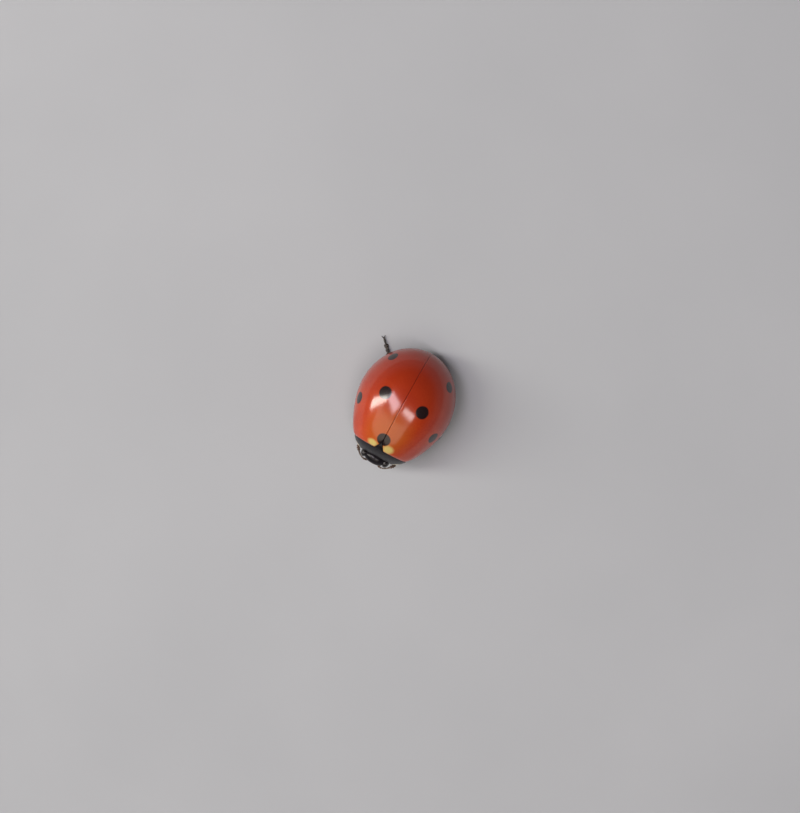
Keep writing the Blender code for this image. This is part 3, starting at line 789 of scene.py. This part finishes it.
def prothorax_shape():
    """The black body under the pronotum, between it and the fore hips."""
    front = NOTCH_MIDDLE_Y - 0.12
    sides = []
    for k in range(41):
        turn = math.pi * (k / 40 - 0.5)
        sides.append((math.sin(turn), math.cos(turn), 0.0))
    for k in range(1, 40):
        share = 1.0 - 2.0 * k / 40
        keel = 0.05 * bell(share, 0.10)
        hollow = 0.06 * bell(abs(share) - 0.55, 0.18)
        sides.append((share, 0.0, hollow - keel - 0.30 * (1.0 - share ** 2)))
    rings = []
    for i in range(15):
        ring = []
        for sine, arch, sink in sides:
            rear = pronotum_rear(sine, PROTHORAX_INSET) - 0.03
            y = rear + (front - rear) * i / 14
            half_width, height = pronotum_size(y, PROTHORAX_INSET)
            half_width *= 1.0 - 0.12 * (i / 14) ** 2
            ring.append((half_width * sine, y, PRONOTUM_Z + height * arch + sink))
        rings.append(ring)
    return lofted(rings)


# Underside


def belly_z(x, y):
    """Height of the smooth belly."""
    half_width = max(shell_size(y, BELLY_INSET)[0], 1e-6)
    reach = half_width / (SHELL_HALF_WIDTH - BELLY_INSET)
    share = min(1.0, abs(x) / half_width)
    return BELLY_Z + BELLY_SIDE_RISE * share ** 2 + BELLY_END_RISE * (1.0 - reach ** 2)


def thorax_relief(x, y):
    """How far grooves and hip hollows lift the thorax's plates at one place."""
    lift = 0.03 * bell(x, 0.025) * (1.0 if y > WIDEST_Y - 1.5 else 0.0)
    seam = y - (WIDEST_Y - 1.28 + 0.10 * abs(x))
    lift += 0.045 * bell(seam, 0.03) * (1.0 if abs(x) > 0.3 else 0.4)
    lift += 0.05 * bell(y - (WIDEST_Y - 2.18), 0.03)
    side = abs(x) - (1.46 + 0.10 * (y - WIDEST_Y))
    lift += 0.045 * bell(side, 0.028)
    for place in (COXAE["mid"], COXAE["hind"]):
        dx, dy = (abs(x) - place[0]) / 0.42, (y - place[1]) / 0.30
        lift += 0.16 * math.exp(-(dx * dx + dy * dy) ** 2)
    return lift


def underside_shape(front, rear, relief, rows, columns):
    """A body lofted along Y with a fine belly surface, closed under the elytra."""
    rings = []
    for i in range(rows):
        y = front + (rear - front) * i / (rows - 1)
        half_width = shell_size(y, BELLY_INSET)[0]
        ring = []
        for k in range(columns):
            x = half_width * (2.0 * k / (columns - 1) - 1.0)
            ring.append((x, y, belly_z(x, y) + relief(x, y)))
        side = belly_z(half_width, y)
        for k in range(1, 12):
            turn = math.pi * k / 12
            ring.append((half_width * math.cos(turn), y, side + 0.5 * math.sin(turn)))
        rings.append(ring)
    return lofted(rings)


def abdomen_relief(x, y):
    """Each belly plate stands out most at its rear edge, which bows forward at the sides."""
    bent = y + 0.10 * (abs(x) / 2.0) ** 2
    start = ABDOMEN_FRONT_Y
    drop = 0.0
    for end in PLATE_EDGES:
        if bent <= end:
            share = (bent - start) / (end - start)
            drop = 0.055 * min(1.0, share * 1.3) ** 1.5
            if share > 0.93:
                drop *= max(0.0, (1.0 - share) / 0.07) ** 0.5
            break
        start = end
    dx, dy = (abs(x) - COXAE["hind"][0]) / 0.45, (y - COXAE["hind"][1]) / 0.5
    hollow = 0.10 * math.exp(-(dx * dx + dy * dy) ** 2)
    arc = math.hypot(abs(x) - 0.85, y - ABDOMEN_FRONT_Y + 0.05) - 0.50
    line = 0.02 * bell(arc, 0.02) if y < PLATE_EDGES[0] else 0.0
    return line + hollow - drop


# Head


def head_capsule(local):
    """Flatten the face and narrow the capsule towards the mouth."""
    left, out, up = local
    if out > 0.0:
        out *= 1.0 - 0.20 * math.exp(-(left / 0.35) ** 2 - ((up - 0.12) / 0.3) ** 2)
    if up < -0.1:
        left *= 1.0 - 0.35 * min(1.0, (-up - 0.1) / 0.4)
    return np.array([left, out, up])


def face_plate(shape, centre, half_width, half_height, depth, curve, narrow):
    """A rounded plate on the face; its lower edge curves and is narrower."""
    rings = []
    for share, push in ((1.0, -0.12), (1.0, 0.0), (0.96, 0.03), (0.86, 0.05), (0.55, 0.06), (0.2, 0.062)):
        ring = []
        for turn in turns(40):
            c, s = math.cos(turn), math.sin(turn)
            left = math.copysign(abs(c) ** 0.55, c) * half_width * share
            up = math.copysign(abs(s) ** 0.55, s) * half_height * share
            left *= 1.0 + narrow * up / half_height
            sag = curve * (1.0 - (left / half_width) ** 2) if up < 0.0 else 0.0
            bend = -0.9 * left ** 2
            ring.append(head_place(np.array([left, depth * push / 0.06 + bend, up + sag]) + centre))
        rings.append(ring)
    rings.append([head_place(np.array(centre) + (0.0, depth * 1.04, 0.0))])
    shape.loft(rings)


def head_shape():
    """Capsule, clypeus, upper lip, cheeks, the feelers' sockets and the mouth's base."""
    axes = head_axes()
    shape = Shape()
    shape.ball(HEAD_CENTRE, HEAD_RADII, axes, 64, 48, head_capsule)
    face_plate(shape, (0.0, 0.345, -0.285), half_width=0.34, half_height=0.115, depth=0.055,
               curve=0.05, narrow=0.10)
    face_plate(shape, (0.0, 0.325, -0.455), half_width=0.25, half_height=0.085, depth=0.05,
               curve=0.03, narrow=0.12)
    for side in (1, -1):
        shape.ball(head_place((side * 0.40, 0.16, -0.30)), (0.16, 0.20, 0.22), axes, 24, 16)
        socket = head_place((side * 0.395, 0.365, -0.135))
        shape.ball(socket, (0.085, 0.04, 0.085), axes, 20, 12)
    shape.ball(head_place((0.0, 0.08, -0.46)), (0.30, 0.24, 0.17), axes, 32, 20)
    return shape


def jaw_shape(side):
    """A mandible: a stout hook with a two-pointed tip."""
    shape = Shape()
    route = [(0.25, 0.14, -0.44), (0.24, 0.26, -0.55), (0.14, 0.33, -0.62), (0.035, 0.34, -0.625)]
    path = head_path(route, side, 7)
    radii = [0.085 - 0.062 * (i / (len(path) - 1)) ** 1.3 for i in range(len(path))]
    shape.rod(path, radii, 14, 0.8)
    tooth = head_path([(0.12, 0.32, -0.60), (0.045, 0.33, -0.575)], side, 1)
    shape.rod(tooth, [0.035, 0.008], 8)
    return shape


def unit_sphere(subdivisions):
    """Points and triangles of a sphere of even triangles."""
    work = bmesh.new()
    bmesh.ops.create_icosphere(work, subdivisions=subdivisions, radius=1.0)
    points = [v.co.copy() for v in work.verts]
    faces = [tuple(v.index for v in face.verts) for face in work.faces]
    work.free()
    return points, faces


def eye_shape(side):
    """A compound eye of some six hundred domed facets, notched where the feeler stands."""
    facets, _ = unit_sphere(4)
    tree = KDTree(len(facets))
    for number, facet in enumerate(facets):
        tree.insert(facet, number)
    tree.balance()
    points, faces = unit_sphere(6)
    notch = Vector((0.35 * -side, 0.75, -0.55)).normalized()
    centre = np.array(EYE_PLACE) * (side, 1.0, 1.0)
    shape = Shape()
    for point in points:
        from_facet = tree.find(point)[2] / EYE_FACET_REACH
        size = 1.0 + EYE_FACET_DOME * (1.0 - min(1.0, from_facet) ** 2)
        size *= 1.0 - 0.16 * math.exp(-(point - notch).length_squared / 0.10)
        shape.points.append(head_place(np.array(point) * EYE_RADII * size + centre))
    shape.faces.extend(faces)
    return shape


def jointed_limb(shape, hairs, path, joints, flat, around, hair_length, hair_count):
    """Joints along a path, each (length, radius at its start, radius at its end)."""
    lengths = [0.0]
    for a, b in zip(path, path[1:]):
        lengths.append(lengths[-1] + np.linalg.norm(b - a))
    scale = lengths[-1] / sum(length for length, _, _ in joints)

    def at(distance):
        """The place on the path that far from its root."""
        return np.array([np.interp(distance, lengths, [p[k] for p in path]) for k in range(3)])

    start = 0.0
    for length, first, last in joints:
        length *= scale
        steps = 12
        points, radii = [], []
        for i in range(steps + 1):
            share = (1.0 - math.cos(math.pi * i / steps)) / 2.0
            points.append(at(start + length * share))
            ends = max(0.30, math.sqrt(1.0 - abs(2.0 * share - 1.0) ** 5))
            radii.append((first + (last - first) * share ** 0.8) * ends)
        shape.rod(points, radii, around, flat)
        add_hairs(hairs, points, radii, hair_length, hair_count)
        start += length


def add_hairs(shape, path, radii, length, count):
    """So many short hairs round each stretch of a limb, leaning to its tip, off the floor."""
    for a, b, radius in zip(path, path[1:], radii):
        ahead = unit(b - a)
        for _ in range(count):
            way = np.array([rng.gauss(0, 1), rng.gauss(0, 1), rng.gauss(0, 1)])
            way = unit(way - ahead * way.dot(ahead))
            root = a + (b - a) * rng.random() + way * radius * 0.9
            lean = way * 0.55 + ahead * 0.9
            tip = root + lean * length
            if root[2] >= HAIR_LOWEST_ROOT and tip[2] >= HAIR_LOWEST_TIP:
                shape.hair(root, lean, length * rng.uniform(0.7, 1.2))


def antenna_shape(side, hairs):
    """A feeler of eleven joints: a stout first one, a slender stalk and a club of three."""
    shape = Shape()
    places = [HEAD_CENTRE + np.array([side * x, y, z]) for x, y, z in ANTENNA_ROUTE]
    jointed_limb(shape, hairs, smooth_path(places, 12), ANTENNA_JOINTS, 0.85, 16, 0.07, 3)
    return shape


def palp_shape(side, hairs):
    """The jaw palp: three short joints and a broad, hatchet-shaped last one."""
    shape = Shape()
    path = head_path([(0.30, 0.12, -0.50), (0.42, 0.20, -0.62), (0.44, 0.30, -0.72)], side, 8)
    joints = [(0.08, 0.045, 0.055), (0.13, 0.045, 0.062), (0.10, 0.045, 0.064)]
    jointed_limb(shape, hairs, path, joints, 1.0, 14, 0.05, 2)
    start = path[-1]
    end = head_place((side * 0.38, 0.46, -0.83))
    along = unit(end - start)
    wide = unit(np.cross(along, UP))
    thick = np.cross(wide, along)
    rings = []
    for share, half, deep in HATCHET:
        ring = []
        for turn in turns(24):
            across = half * math.cos(turn)
            centre = start + (end - start) * share + along * across * (0.22 * share)
            ring.append(centre + wide * across + thick * deep * math.sin(turn))
        rings.append(ring)
    shape.loft(rings)
    return shape


def lip_palps_shape(hairs):
    """The small lower lip with its two short palps."""
    shape = Shape()
    shape.ball(head_place((0.0, 0.12, -0.60)), (0.13, 0.13, 0.06), head_axes(), 24, 14)
    for side in (1, -1):
        path = head_path([(0.07, 0.18, -0.62), (0.10, 0.26, -0.68), (0.09, 0.34, -0.73)], side, 6)
        joints = [(0.06, 0.028, 0.034), (0.08, 0.028, 0.036), (0.09, 0.030, 0.020)]
        jointed_limb(shape, hairs, path, joints, 1.0, 12, 0.04, 1)
    return shape


# Legs


def leg_joint(shape, hairs, ends, profile, around, flat, hair_length, hair_count, bow=0.0):
    """A hairy rod between two points whose radius follows a list of (share, radius)."""
    start, end = ends
    shares, widths = zip(*profile)
    path, radii = [], []
    for i in range(25):
        share = i / 24
        point = start + (end - start) * share
        path.append(point + UP * bow * math.sin(math.pi * share))
        radii.append(np.interp(share, shares, widths))
    shape.rod(path, radii, around, flat)
    add_hairs(hairs, path, radii, hair_length, hair_count)


def leg_shape(pair, route, side, hairs):
    """Hip, trochanter, thigh, shin with two spurs, and foot."""
    shape = Shape()
    flip = np.array([side, 1.0, 1.0])
    root = flip * COXAE[pair]
    knee, ankle, toe = (flip * (x, WIDEST_Y + y, z) for x, y, z in LEG_ROUTES[route])
    out = unit(knee - root)
    shape.ball(root + UP * 0.06, (0.33, 0.24, 0.24), np.eye(3), 36, 24)
    shape.ball(root + out * 0.24 - UP * 0.06, (0.17, 0.13, 0.12), np.eye(3), 28, 18)
    hip = root + out * 0.16 - UP * 0.06
    leg_joint(shape, hairs, (hip, knee), THIGH, 28, 0.72, 0.07, 9)
    down = ankle + UP * 0.02
    leg_joint(shape, hairs, (knee - out * 0.03, down), SHIN, 22, 0.75, 0.09, 12, 0.05)
    along = unit(toe - ankle)
    for turn in (0.5, -0.5):
        way = Matrix.Rotation(turn, 3, "Z") @ Vector(along)
        spur = np.array(way) * 0.13 - UP * 0.06
        shape.rod([down, down + spur], [0.02, 0.002], 8)
    foot_shape(shape, hairs, down, along, np.linalg.norm(toe - ankle))
    return shape


def foot_shape(shape, hairs, ankle, along, length):
    """A foot of two broad, hairy-soled joints, a slender last joint and two toothed claws."""
    side = unit(np.cross(along, UP))
    flat_way = np.cross(UP, side)
    ankle = np.array([ankle[0], ankle[1], 0.155])

    def place(distance, height):
        """A place over the foot's middle line."""
        return np.array([ankle[0], ankle[1], height]) + flat_way * distance

    first = (ankle - along * 0.03, place(0.30 * length, 0.115))
    leg_joint(shape, hairs, first, FOOT_FIRST_JOINT, 18, 0.7, 0.06, 3)
    for lobe in (1, -1):
        start = place(0.26 * length, 0.105)
        end = place(0.62 * length, 0.065) + side * lobe * 0.055
        leg_joint(shape, hairs, (start, end), FOOT_LOBE, 16, 0.65, 0.05, 3)
        for _ in range(SOLE_HAIRS):
            share = rng.uniform(0.25, 1.0)
            sole = start + (end - start) * share + side * rng.uniform(-0.06, 0.06)
            sole[2] -= 0.03
            way = (0.25 * along[0], 0.25 * along[1], -1.0)
            hairs.hair(sole, way, max(0.01, sole[2] - 0.002), 0.005)
    last = place(length * 1.02, 0.10)
    leg_joint(shape, hairs, (place(0.45 * length, 0.12), last), FOOT_LAST_JOINT, 14, 0.9, 0.06, 2)
    for lobe in (1, -1):
        claw = [last]
        for ahead, out, drop in ((0.09, 0.06, 0.0), (0.15, 0.105, 0.055), (0.16, 0.125, 0.096)):
            claw.append(last + flat_way * ahead + side * lobe * out - UP * drop)
        shape.rod(smooth_path(claw, 5), [0.032 - 0.0018 * k for k in range(16)], 10)
        shape.rod([claw[1], claw[1] - UP * 0.06], [0.022, 0.003], 8)


def belly_hairs(hairs):
    """Short pale hairs lying back over the whole underside."""
    for _ in range(BELLY_HAIRS):
        y = rng.uniform(BASE_MIDDLE_Y + 0.3, ABDOMEN_REAR_Y - 0.05)
        half_width = shell_size(y, FOLD_WIDTH + 0.06)[0]
        x = rng.uniform(-half_width, half_width)
        relief = thorax_relief(x, y) if y < THORAX_REAR_Y else abdomen_relief(x, y)
        z = belly_z(x, y) + relief + 0.004
        way = (rng.uniform(-0.2, 0.2), 1.0, -0.42)
        hairs.hair(np.array([x, y, z]), way, rng.uniform(0.07, 0.13))


def head_hairs(hairs):
    """Short bristles on the upper lip, the clypeus and the face."""
    for _ in range(FACE_HAIRS):
        left = rng.uniform(-0.36, 0.36)
        up = rng.uniform(-0.52, 0.25)
        root = head_place((left, 0.37 - 0.5 * left ** 2, up))
        way = head_axes() @ np.array([0.2 * left, 0.9, -0.8])
        hairs.hair(root, way, rng.uniform(0.05, 0.09), 0.0034)


# Scene


def make_floor():
    """A plain pale floor that reaches out of every view."""
    mesh = bpy.data.meshes.new("floor")
    half = FLOOR_HALF_SIZE
    corners = [(-half, -half, 0.0), (half, -half, 0.0), (half, half, 0.0), (-half, half, 0.0)]
    mesh.from_pydata(corners, [], [(0, 1, 2, 3)])
    mesh.materials.append(floor_material())
    floor = add_object("floor", mesh)


def leaning(left, rear):
    """The way up from the ladybird, leaning that many degrees to its left and to its rear."""
    return Vector((math.tan(math.radians(left)), math.tan(math.radians(rear)), 1.0)).normalized()


def area_light(name, leans, distance, size, power, colour, spin):
    """A soft light over the ladybird, spun on its axis."""
    data = bpy.data.lights.new(name, "AREA")
    data.shape = "RECTANGLE"
    data.size = size[0]
    data.size_y = size[1]
    data.energy = power
    data.color = colour
    way = leaning(*leans)
    side = Vector((1.0, 0.0, 0.0))
    side = (side - way * side.dot(way)).normalized()
    side = Matrix.Rotation(math.radians(spin), 3, way) @ side
    turn = Matrix((side, way.cross(side), way)).transposed().to_4x4()
    add_object(name, data).matrix_world = Matrix.Translation(way * distance) @ turn


def make_walls():
    """The studio around: pale walls near the floor's level, and dark overhead."""
    nodes = Nodes(bpy.data.worlds.new("studio"), "Background", "Generated")
    walls = nodes.add("ShaderNodeValToRGB", {"Fac": nodes.along("Z")})
    stops = walls.color_ramp.elements
    stops.new(WALL_GREYS[1][0])
    for stop, (height, grey) in zip(stops, WALL_GREYS):
        stop.position = height
        stop.color = (grey * 0.96, grey, grey * 1.06, 1.0)
    walls.color_ramp.interpolation = "EASE"
    nodes.fill(nodes.shader, {"Color": walls.outputs["Color"]})
    bpy.context.scene.world = nodes.owner
    bpy.context.scene.view_settings.view_transform = "Standard"


def make_camera():
    """The photograph's view: from almost overhead, turned so that the rear points up right."""
    middle = Vector(on_shell(0.0, SPOTS_MIDDLE_Y)) * MM
    back = leaning(CAMERA_LEAN_LEFT, CAMERA_LEAN_REAR)
    rear = Vector((0.0, 1.0, 0.0))
    rear = (rear - back * rear.dot(back)).normalized()
    up = Matrix.Rotation(math.radians(AXIS_TURN), 3, back) @ rear
    right = up.cross(back)
    pixel = MM / PHOTO_PIXELS_PER_MM
    distance = PHOTO_HEIGHT * pixel * LENS / SENSOR
    aside = (PHOTO_SPOTS_MIDDLE[0] - PHOTO_WIDTH / 2.0) * pixel
    above = (PHOTO_HEIGHT / 2.0 - PHOTO_SPOTS_MIDDLE[1]) * pixel
    data = bpy.data.cameras.new("camera")
    data.lens = LENS
    data.sensor_width = SENSOR
    data.clip_start = 0.005
    data.clip_end = 5.0
    camera = add_object("camera", data)
    turn = Matrix((right, up, back)).transposed().to_4x4()
    place = middle - right * aside - up * above + back * distance
    camera.matrix_world = Matrix.Translation(place) @ turn
    bpy.context.scene.camera = camera


def main():
    """Camera, light and floor, then every piece. The order fixes the random draws."""
    make_camera()
    for light in LIGHTS:
        area_light(*light)
    make_walls()
    make_floor()
    for side, word in ((1, "left"), (-1, "right")):
        make_piece("wing_case_" + word, elytron_shape(side), "elytra_red", "elytron_" + word)
        make_piece("compound_eye_" + word, eye_shape(side), "eye_black", "eye_" + word)
        hairs = Shape()
        make_piece("feeler_" + word, antenna_shape(side, hairs), "feeler_brown", "antenna_" + word)
        make_piece("jaw_palp_" + word, palp_shape(side, hairs), "feeler_brown", "palp_" + word)
        make_piece("jaw_" + word, jaw_shape(side), "feeler_brown")
        make_piece("head_limb_hairs_" + word, hairs, "feeler_brown", look="hairs")
        for pair in ("fore", "mid", "hind"):
            route = "hind_out" if (pair, word) == ("hind", "right") else pair
            hairs = Shape()
            name = pair + "_leg_" + word
            limb = leg_shape(pair, route, side, hairs)
            make_piece(name, limb, "leg_black", "leg_" + pair + "_" + word)
            make_piece(name + "_hairs", hairs, "leg_black", look="hairs")
    make_piece("scutellum_plate", scutellum_shape(), "shell_black", "scutellum")
    make_piece("pronotum_plate", pronotum_shape(), "shell_black", "pronotum")
    make_piece("prothorax_under", prothorax_shape(), "belly_black")
    make_piece("head_shell", head_shape(), "shell_black", "head")
    hairs = Shape()
    make_piece("lower_lip", lip_palps_shape(hairs), "feeler_brown")
    thorax = underside_shape(BASE_MIDDLE_Y + 0.02, THORAX_REAR_Y, thorax_relief, 90, 150)
    make_piece("thorax_plates", thorax, "belly_black", "thorax")
    abdomen = underside_shape(ABDOMEN_FRONT_Y, ABDOMEN_REAR_Y, abdomen_relief, 130, 130)
    make_piece("abdomen_plates", abdomen, "belly_black", "abdomen")
    belly_hairs(hairs)
    head_hairs(hairs)
    make_piece("body_hairs", hairs, "belly_black", look="hairs")


main()
